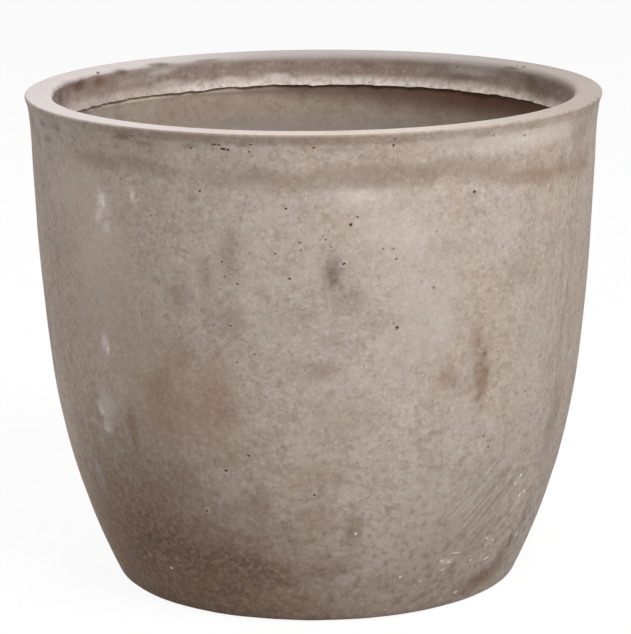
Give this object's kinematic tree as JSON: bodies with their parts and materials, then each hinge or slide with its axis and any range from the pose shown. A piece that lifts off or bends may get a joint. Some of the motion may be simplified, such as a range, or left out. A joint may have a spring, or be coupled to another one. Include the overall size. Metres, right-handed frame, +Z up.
{
  "type": "concrete bowl planter",
  "caption": "Round floor planter cast in concrete: bowl wall flaring to a flat lip, undercut inner collar, floor with a sleeved drain and lift-out stopper.",
  "frame": {"origin": "centre of the base, on the ground", "axes": "+Z up along the pot's axis; the pull tab of the stopper lies along X"},
  "size_m": [0.468, 0.4678, 0.4],
  "materials": {
    "concrete": "matt cast concrete, mottled, with small air holes",
    "sleeve_plastic": "matt grey pipe",
    "plug_rubber": "matt black moulded rubber"
  },
  "bodies": {
    "pot": {"pot_shell": "concrete", "drain_sleeve": "sleeve_plastic"},
    "plug": {"drain_plug": "plug_rubber"}
  },
  "joints": [
    {"name": "plug_lift", "type": "slide", "parent": "pot", "child": "plug", "axis": [0, 0, 1], "range_m": [0, 0.41]}
  ]
}
